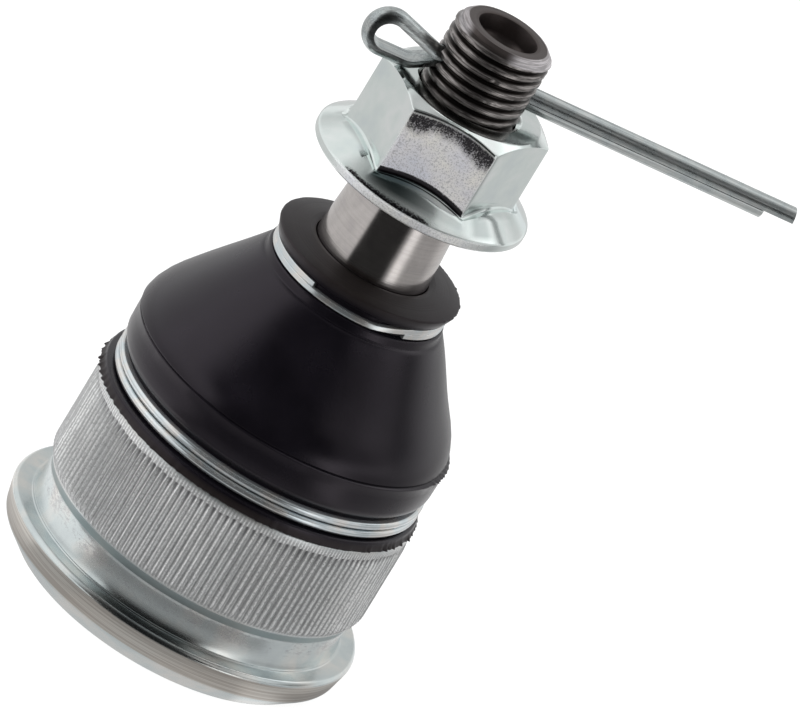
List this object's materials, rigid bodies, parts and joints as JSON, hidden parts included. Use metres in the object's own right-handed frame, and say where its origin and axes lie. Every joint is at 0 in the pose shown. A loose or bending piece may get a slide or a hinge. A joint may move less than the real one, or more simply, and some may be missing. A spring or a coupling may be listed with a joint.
{
  "type": "suspension ball joint",
  "caption": "Press-in suspension ball joint: flanged serrated housing, rubber boot, tapered ball stud, flange nut and cotter pin.",
  "frame": {"origin": "on the joint's axis, in the plane of the flange's underside", "axes": "+Z along the stud from the housing to the thread; +X along the cotter pin, towards its cut ends"},
  "size_m": [0.0709, 0.0504, 0.0929],
  "materials": {
    "housing_zinc": "bright zinc plate, satin",
    "cover_zinc": "zinc plated pressing, satin",
    "spring_steel": "oiled spring steel",
    "bearing_plastic": "acetal, matt",
    "stud_steel": "ground taper, dark rolled thread",
    "boot_rubber": "black moulded rubber, satin",
    "ring_wire": "bright zinc wire",
    "nut_zinc": "bright zinc plate with a faint green cast",
    "pin_zinc": "zinc plated wire, satin"
  },
  "bodies": {
    "housing": {"housing": "housing_zinc", "cover_plate": "cover_zinc", "preload_spring": "spring_steel", "lower_bearing": "bearing_plastic", "upper_bearing": "bearing_plastic", "lower_boot_ring": "ring_wire"},
    "boot": {"boot": "boot_rubber"},
    "collar": {"upper_boot_ring": "ring_wire"},
    "stud": {"ball_stud": "stud_steel"},
    "nut": {"stud_nut": "nut_zinc"},
    "pin": {"cotter_pin": "pin_zinc"}
  },
  "joints": [
    {"name": "tilt_direction", "type": "hinge", "parent": "housing", "child": "boot", "pos_m": [0, 0, 0.01943], "axis": [0, 0, 1], "continuous": true},
    {"name": "stud_tilt", "type": "hinge", "parent": "boot", "child": "collar", "pos_m": [0, 0, 0.01943], "axis": [0, 1, 0], "range_deg": [-25, 25], "deforming": ["boot"]},
    {"name": "stud_spin", "type": "hinge", "parent": "collar", "child": "stud", "pos_m": [0, 0, 0.01943], "axis": [0, 0, 1], "continuous": true},
    {"name": "nut_turn", "type": "hinge", "parent": "stud", "child": "nut", "pos_m": [0, 0, 0.0759], "axis": [0, 0, 1], "range_deg": [0, 384]},
    {"name": "pin_pull", "type": "slide", "parent": "stud", "child": "pin", "axis": [-1, 0, 0], "range_m": [0, 0.055]}
  ]
}
